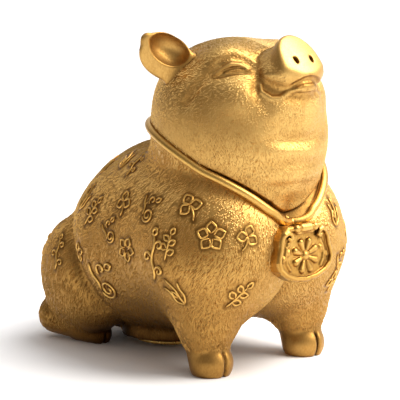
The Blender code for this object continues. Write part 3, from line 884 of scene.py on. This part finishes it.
def head_hair(points):
    """The hair fades towards the snout's disc, the eyes and the mouth."""
    q = mirrored(points)
    hair = fade(np.abs(above_seam(points)), 1.8, 2.6) * (np.abs(whole_skin(points)) < 1.0)
    hair *= fade(np.linalg.norm(points - DISC, axis=1), 14, 17)
    for route, reach in ((FACE[EYE_FOLD][0], 4.6), (MOUTH, 3.5)):
        hair *= fade(chain(q, route, 0.1), reach - 1, reach)
    return hair


record(head, "flow", head_flow(head_points))
record(head, "hair", head_hair(head_points))
head.data.materials.append(furred_brass)
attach(head, "bank")
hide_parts("head_casting")
tufts = grown(
    "brass_head_tufts",
    head,
    chased_hair,
    {
        "Per Square Metre": 1300000.0, "Length": 0.0018, "Width": 0.00045, "Height": 0.00018,
        "Metal": tuft_brass, "Seed": 4
    },
)
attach(tufts, "bank")


# ---- Ears ----
# Two cast brass ears, each let into the head on its own peg: a leaf-shaped cup with a thin filed rim, its inside
# darker, partly for patina and partly as painted shade in the hollow of the cup.
def ear_form(centre, tip, face, sag, root):
    """A leaf-shaped cup: it opens towards face, narrows to its tip and sags behind."""
    tip, face = np.array(tip, float), np.array(face, float)
    tip /= np.linalg.norm(tip)
    face -= (face @ tip) * tip
    face /= np.linalg.norm(face)
    frame_of_ear = np.column_stack((tip, np.cross(tip, face), face))

    def form(points):
        near = (points - np.array(centre)) @ frame_of_ear
        outer = egg(near, (-0.3, sag, -1.8), (12.9, 11.2, 10))
        outer = blend(outer, limb(near, (7, 0.4 * sag, -1.8), (11.6, 0.2 * sag, -1.2), 5.4, 2.8), 3)
        outer = blend(outer, limb(points, centre + frame_of_ear @ np.array((-6, sag, -4)), root, 7.5, 8), 6)
        outer = carve(outer, -near[:, 2] - 0.02 * near[:, 1] ** 2, 2.0)
        hollow = blend(
            egg(near, (-0.4, -0.35 * sag, 1.6), (10.6, 7.8, 9.4)),
            limb(near, (6, 0, 1.2), (9.6, 0, 1.6), 3.6, 1.8), 2
        )
        outer = carve(outer, hollow, 0.8)
        skin = head_masses(points)
        return np.maximum(blend(outer, skin + 1.0, 5), -(skin + 0.15))

    return form


for name, *shape in (
    ("right_ear", (-39.3, -29.5, 157.5), (-0.72, 0.43, 0.54), (-0.66, -0.73, 0.16), -3.0, (-29, -32, 146)),
    ("left_ear", (42.5, -25.5, 150.5), (0.84, 0.25, 0.48), (0.40, -0.80, 0.42), 3.0, (31, -31, 146)),
):
    form = ear_form(*shape)
    middle = np.array(shape[0])
    ear = sculpted(f"brass_{name}", form, middle - 24, middle + 24, 0.5)
    record_wear_and_painted_shade(ear, form)
    ear.data.materials.append(furred_brass)
    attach(ear, "bank")
    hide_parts(name)


# ---- Neck cord ----
# A half-round brass strip made to look like a cord: it lies in a groove over the neck joint, and its two
# ends run down to the pendant in a V. It was filed smooth, so it shines more than the coat.
def tube(name, route, radii, sides=14, closed=False):
    """A mesh of rings along a route, with flat ends unless it is closed."""
    route = np.array(route, float)
    radii = np.broadcast_to(np.array(radii, float), len(route))
    ahead = np.roll(route, -1, 0) - np.roll(route, 1, 0)
    if not closed:
        ahead[0], ahead[-1] = route[1] - route[0], route[-1] - route[-2]
    ahead /= np.linalg.norm(ahead, axis=1)[:, None]
    side = np.cross(ahead[0], (0.3, 0.2, 0.9))
    points = []
    for at, way, radius in zip(route, ahead, radii):
        side -= (side @ way) * way
        side /= np.linalg.norm(side)
        up = np.cross(way, side)
        for i in range(sides):
            turn = 2 * math.pi * i / sides
            points.append(at + radius * (math.cos(turn) * side + math.sin(turn) * up))
    rings = len(route)
    faces = []
    for ring in range(rings if closed else rings - 1):
        following = (ring + 1) % rings
        for i in range(sides):
            j = (i + 1) % sides
            faces.append((ring * sides + i, ring * sides + j, following * sides + j, following * sides + i))
    if not closed:
        faces += [tuple(range(sides))[::-1], tuple(range((rings - 1) * sides, rings * sides))]
    return meshed(name, points, faces)


def neck_route(lift, count):
    """The seam's line at a height over the skin, all the way round the neck."""
    turn = np.linspace(0, 2 * np.pi, count, endpoint=False)
    near, far = np.full(count, 5.0), np.full(count, 80.0)
    for _ in range(40):
        reach = (near + far) / 2
        x, y = reach * np.sin(turn), -32 - reach * np.cos(turn)
        spots = np.column_stack((x, y, seam_height(x, y)))
        inside = skin_form(spots) < lift
        near, far = np.where(inside, reach, near), np.where(inside, far, reach)
    return spots


cord = tube("brass_cord", neck_route(CORD_LIFT, 180), 2.15, closed=True)
record(cord, "wear_and_painted_shade", np.full(len(cord.data.vertices), 0.85))
cord.data.materials.append(smooth_brass)
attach(cord, "bank")
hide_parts("neck_cord")


# ---- Pendant ----
# A cast brass lock plate, 39 mm wide, riveted to the chest: a thick body with a rolled rim, a notched top
# with a bail between two beads, and a sunk, stippled field. A plain rosette fills the field.
PENDANT_MIDDLE = np.array([0, -86, 61.0])
PENDANT_OUT = np.array([0, -math.cos(math.radians(4)), math.sin(math.radians(4))])
PENDANT_UP = np.array([0, math.sin(math.radians(4)), math.cos(math.radians(4))])
HALF_OUTLINE = (
    (0, 12.3), (4.5, 12), (7.5, 13.9), (11.5, 14), (14.8, 11.4), (17, 7.5), (17.6, 3.6), (18.6, 0.6),
    (19.3, -3), (17.8, -7.2), (13.6, -10.8), (7.2, -13.2), (0, -14)
)


def outline_distance(across, up):
    """Distance in the plate's plane to its outline, below 0 inside."""
    corners = np.array(HALF_OUTLINE[::-1])
    spots = np.column_stack((np.abs(across), up))
    best = np.full(len(spots), 1e9)
    for start, end in zip(corners[:-1], corners[1:]):
        along = end - start
        share = np.clip((spots - start) @ along / (along @ along), 0, 1)
        best = np.minimum(best, np.linalg.norm(spots - start - share[:, None] * along, axis=1))
    angle = np.arctan2(up, np.abs(across))
    order = np.argsort(np.arctan2(corners[:, 1], corners[:, 0]))
    ring = corners[order]
    edge = np.interp(angle, np.arctan2(ring[:, 1], ring[:, 0]), np.hypot(*ring.T))
    return np.where(np.hypot(*spots.T) < edge, -best, best)


def pendant_form(points):
    near = points - PENDANT_MIDDLE
    flat = np.column_stack((near[:, 0], near @ PENDANT_UP, near @ PENDANT_OUT))
    q = np.column_stack((np.abs(flat[:, 0]), flat[:, 1:]))
    edge = outline_distance(flat[:, 0], flat[:, 1])
    form = carve(edge, -(np.abs(flat[:, 2] + 4) - 4), 1.8)
    form = carve(form, np.maximum(edge + 2.6, -1.7 - flat[:, 2]), 0.9)
    form = blend(form, limb(q, (-1, 12.6, -0.2), (2.6, 12.6, -0.2), 2.1, 2.1), 0.6)  # bail
    form = blend(form, egg(q, (6.1, 12.5, 0.2), (1.9, 1.9, 1.6)), 0.6)
    scroll = (
        (13.4, 10.2, -0.6), (11.6, 10.9, -0.4), (9.6, 10.2, -0.3), (8.8, 8.4, -0.4), (10, 7.3, -0.6),
        (11.3, 8.2, -0.8)
    )
    form = blend(form, chain(q, scroll, 1.2, 0.8), 0.5)
    for i in range(8):
        turn = math.radians(45 * i + 22.5)
        way = np.array((math.cos(turn), math.sin(turn), 0))
        petal = limb(flat, way * 3.4 + (0, -1.2, -1.6), way * 7.2 + (0, -1.2, -1.7), 1.1, 1.9)
        form = blend(form, petal, 0.5)
    form = blend(form, egg(flat, (0, -1.2, -1.6), (2.4, 2.4, 2.0)), 0.5)
    sprig = ((10.4, -7, -1.7), (12.4, -4, -1.7), (13, 0, -1.7), (12.2, 3.6, -1.7))
    form = blend(form, chain(q, sprig, 1.0, 0.8), 0.5)
    for place in ((14.6, -1.8, -1.8), (11, 1.2, -1.8), (10.9, 5.2, -1.8)):
        form = blend(form, egg(q, place, (1.2, 1.9, 1.1), (0, 0, 25)), 0.5)
    return form


pendant = sculpted("brass_pendant", pendant_form, (-22, -92, 45), (22, -74, 79), 0.42)
record_wear_and_painted_shade(pendant, pendant_form)
pendant.data.materials.append(smooth_brass)
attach(pendant, "bank")
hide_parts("pendant")


# ---- Tail ----
# A thin cast brass tail on a peg in the rump, curled once upon itself.
TAIL_ROOT = np.array([0, 82, 46.0])
route = [TAIL_ROOT + (0, -7, 0), TAIL_ROOT + (0, -4, 0), TAIL_ROOT + (0, -1.5, 0)]
for t in np.linspace(0, 1, 44):
    angle, reach = math.radians(-90 + 400 * t), 7.5 - 2.5 * t
    route.append(TAIL_ROOT + (reach * math.cos(angle), 1 + 5.5 * t, 7.5 + reach * math.sin(angle)))
tail = tube("brass_tail", route, np.concatenate((np.linspace(3.4, 2.8, 3), np.linspace(2.8, 1.2, 44))))
record(tail, "wear_and_painted_shade", np.full(len(tail.data.vertices), 0.7))
tail.data.materials.append(smooth_brass)
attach(tail, "bank")
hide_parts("tail")


# ---- Neck pins ----
# Three brass pins driven through the neck from outside into the spigot within, then filed flush.
for i in (1, 2, 3):
    spots = points_of(frame["nodes"][f"neck_pin_{i}"])
    middle = spots.mean(axis=0)
    way = np.linalg.svd(spots - middle, full_matrices=False)[2][0]
    way *= np.sign(way @ (middle - (0, -42, middle[2])))
    span = (spots - middle) @ way
    run = np.linspace(span.min(), span.max() + 6, 200)
    depth = skin_form(middle + run[:, None] * way)
    end = run[depth < 0.12][-1]
    pin = tube(
        f"brass_neck_pin_{i}", [middle + way * r for r in (span.min(), end - 0.3, end)], (1.5, 1.5, 1.25)
    )
    record(pin, "wear_and_painted_shade", np.full(len(pin.data.vertices), 0.8))
    pin.data.materials.append(smooth_brass)
    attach(pin, "bank")
    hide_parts(f"neck_pin_{i}")


# ---- Threaded ring, washer and plug ----
# Turned brass under the belly: a ring soldered into the body's boss, and a screw plug with a knurled
# edge and a slot for a coin, closing on a leather washer. The thread is single-start, 1.5 mm a turn.
PITCH = 1.5
KNURLS = 72


def turned_part(name, profile, centre=(0, PLUG_Y), sides=144, thread=0.0, knurl=0.0):
    """A lathe-turned mesh: its profile is (radius, height, kind), where kind t is threaded and k knurled."""
    points, faces = [], []
    for radius, height, kind in profile:
        for i in range(sides):
            share = i / sides
            wave = abs(2 * ((height / PITCH - share) % 1) - 1) - 0.5
            reach = radius + (thread * wave if kind == "t" else 0) + (
                knurl * math.cos(KNURLS * 2 * math.pi * share) if kind == "k" else 0
            )
            points.append((
                centre[0] + reach * math.cos(2 * math.pi * share),
                centre[1] + reach * math.sin(2 * math.pi * share), height
            ))
    rings = len(profile)
    for k in range(rings):
        following = (k + 1) % rings
        if following == 0 and profile[0][0] < 1:
            break
        for i in range(sides):
            j = (i + 1) % sides
            faces.append((k * sides + i, k * sides + j, following * sides + j, following * sides + i))
    if profile[0][0] < 1:
        faces += [tuple(range(sides)), tuple(range((rings - 1) * sides, rings * sides))]
    made = meshed(name, points, faces)
    made.data.set_sharp_from_angle(angle=math.radians(35))
    return made


bore = [(15.9, z, "t") for z in np.arange(6.2, 14.2, 0.25)]
collar = turned_part(
    "brass_ring",
    [(22, 5.7, ""), (21.6, 5.25, ""), (16.6, 5.25, "")] + bore + [
        (16.6, 14.95, ""), (21.6, 14.95, ""), (22, 14.5, "")
    ],
    thread=0.5,
)
shank = [(15.3, z, "t") for z in np.arange(4.2, 14.0, 0.25)]
edge = [(18.1, 1.9, ""), (18.45, 2.15, "k"), (18.5, 2.6, "k"), (18.5, 3.1, "k"), (18.3, 3.55, "")]
plug = turned_part(
    "brass_plug", [(0.5, 1.9, "")] + edge + [(15.2, 3.6, "")] + shank + [(14.4, 14.4, ""), (0.5, 14.4, "")],
    thread=0.5, knurl=0.16
)
bpy.ops.mesh.primitive_cube_add(size=1)
groove = bpy.context.object
groove.name = "coin_groove_cutter"
groove.location = placed((0, PLUG_Y, 1.9))
groove.scale = (0.026, 0.002, 0.002)
cut = plug.modifiers.new("groove", "BOOLEAN")
cut.operation, cut.solver, cut.object = "DIFFERENCE", "EXACT", groove
bpy.context.view_layer.update()
graph = bpy.context.evaluated_depsgraph_get()
slotted = bpy.data.meshes.new_from_object(plug.evaluated_get(graph), depsgraph=graph)
plug.modifiers.clear()
plug.data = slotted
bpy.data.objects.remove(groove)
washer = turned_part(
    "leather_washer",
    [
        (18.4, 3.92, ""), (18.65, 4.15, ""), (18.65, 4.65, ""), (18.4, 4.88, ""), (16.2, 4.88, ""),
        (16.0, 4.65, ""), (16.0, 4.15, ""), (16.2, 3.92, "")
    ],
)
turned_brass = cast_brass("turned_brass", "#7A5426", "#C49A50", "#EBC677", 0.28, 1.6, 0.02)
leather = bpy.data.materials.new("oiled_leather")
leather.use_nodes = True
tree = leather.node_tree
place = node(tree, "ShaderNodeTexCoord").outputs["Object"]
grain = node(tree, "ShaderNodeTexVoronoi", Vector=place, Scale=1 / 0.0009)
tone = node(tree, "ShaderNodeTexNoise", Vector=place, Scale=1 / 0.006, Detail=3.0)
tree.links.new(
    ramp(tree, tone.outputs["Fac"], ((0.3, "#3B2213"), (0.7, "#6A4226"))),
    tree.nodes["Principled BSDF"].inputs["Base Color"]
)
tree.nodes["Principled BSDF"].inputs["Roughness"].default_value = 0.6
bump = node(tree, "ShaderNodeBump", Height=grain.outputs["Distance"], Strength=0.5, Distance=0.0001)
tree.links.new(bump.outputs[0], tree.nodes["Principled BSDF"].inputs["Normal"])
for piece, material, name, where, slot in (
    (collar, turned_brass, "plug_collar", "bank", "brass"),
    (plug, turned_brass, "plug", "plug", "brass"),
    (washer, leather, "plug_washer", "washer", "leather"),
):
    if slot == "brass":
        record(piece, "wear_and_painted_shade", np.full(len(piece.data.vertices), 0.8))
    piece.data.materials.clear()
    piece.data.materials.append(material)
    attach(piece, where)
    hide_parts(name)


# ---- Hidden pins ----
# The cross pins inside the castings are plain lengths of drawn brass wire, never polished.
# Drawn wire shows fine scratches along its length under a dull yellow tarnish.
wire_brass = bpy.data.materials.new("drawn_brass_wire")
wire_brass.use_nodes = True
tree = wire_brass.node_tree
place = node(tree, "ShaderNodeTexCoord").outputs["Object"]
scratch = node(tree, "ShaderNodeTexNoise", Vector=place, Scale=1 / 0.0005, Detail=2.0)
tarnish = node(tree, "ShaderNodeTexNoise", Vector=place, Scale=1 / 0.004, Detail=3.0)
shader = tree.nodes["Principled BSDF"]
tree.links.new(
    ramp(tree, tarnish.outputs["Fac"], ((0.35, "#9A7238"), (0.65, "#D3AA5E"))), shader.inputs["Base Color"]
)
shader.inputs["Metallic"].default_value = 1.0
shader.inputs["Roughness"].default_value = 0.38
bump = node(tree, "ShaderNodeBump", Height=scratch.outputs["Fac"], Strength=1.0, Distance=0.00002)
tree.links.new(bump.outputs[0], shader.inputs["Normal"])
for name in ("left_ear_pin", "right_ear_pin", "tail_pin", "pendant_pin_left", "pendant_pin_right"):
    pin = frame["nodes"][name]
    pin.data.materials.clear()
    pin.data.materials.append(wire_brass)


# ---- Stage, light and camera ----
# A pale table under soft studio light from the upper right, seen from the pig's right front.
floor = bpy.data.meshes.new("table")
floor.from_pydata([(-9, -9, 0), (9, -9, 0), (9, 9, 0), (-9, 9, 0)], [], [(0, 1, 2, 3)])
floor = bpy.data.objects.new("table", floor)
bpy.context.scene.collection.objects.link(floor)
paper = bpy.data.materials.new("white_paper")
paper.use_nodes = True
paper.node_tree.nodes["Principled BSDF"].inputs["Base Color"].default_value = linear("#F6F6F7")
paper.node_tree.nodes["Principled BSDF"].inputs["Roughness"].default_value = 0.9
paper.node_tree.nodes["Principled BSDF"].inputs["Specular IOR Level"].default_value = 0.1
floor.data.materials.append(paper)

world = bpy.data.worlds.new("studio")
bpy.context.scene.world = world
world.use_nodes = True
tree = world.node_tree
TOWARDS_LIGHT = (0.85, -0.2, 0.48)  # the bright side of the room
way = node(tree, "ShaderNodeTexCoord").outputs["Generated"]
room = node(tree, "ShaderNodeVectorMath", {"operation": "DOT_PRODUCT"}, _0=way, _1=TOWARDS_LIGHT)
shade = node(tree, "ShaderNodeMapRange", Value=room.outputs["Value"], From_Min=-1.0, From_Max=1.0)
sky = ramp(
    tree, shade.outputs[0], ((0.0, "#6E6864"), (0.35, "#8C8580"), (0.62, "#D8D3CE"), (0.82, "#FFFFFF"))
)
tree.links.new(sky, tree.nodes["Background"].inputs["Color"])
tree.nodes["Background"].inputs["Strength"].default_value = 1.04


def softbox(name, place, target, size, watts, code):
    lamp = bpy.data.lights.new(name, "AREA")
    lamp.shape = "RECTANGLE"
    lamp.size, lamp.size_y = size
    lamp.energy = watts
    lamp.color = linear(code)[:3]
    obj = bpy.data.objects.new(name, lamp)
    obj.location = place
    obj.rotation_euler = (Vector(target) - Vector(place)).to_track_quat("-Z", "Y").to_euler()
    bpy.context.scene.collection.objects.link(obj)


softbox("key", (0.5, -0.7, 0.8), (0, 0, 0.08), (0.7, 0.7), 12.5, "#FFF9F0")
sun = bpy.data.lights.new("daylight", "SUN")
sun.energy = 2.2
sun.angle = math.radians(40)
sun.color = linear("#FFFFFF")[:3]
daylight = bpy.data.objects.new("daylight", sun)
daylight.rotation_euler = Vector((0.45, -0.25, 1)).to_track_quat("Z", "Y").to_euler()
bpy.context.scene.collection.objects.link(daylight)

camera = bpy.data.cameras.new("camera")
camera.lens = 155.5
camera.sensor_width = 36
camera.clip_start = 0.05
camera.clip_end = 30
view = bpy.data.objects.new("camera", camera)
AZIMUTH, ELEVATION = math.radians(-42), math.radians(9)
out = Vector(
    (math.sin(AZIMUTH) * math.cos(ELEVATION), -math.cos(AZIMUTH) * math.cos(ELEVATION), math.sin(ELEVATION))
)
view.location = Vector((0.008, FORWARD / 1000, 0.076)) + out * 0.9
view.rotation_euler = out.to_track_quat("Z", "Y").to_euler()
bpy.context.scene.collection.objects.link(view)
bpy.context.scene.camera = view
bpy.context.scene.view_settings.view_transform = "Standard"
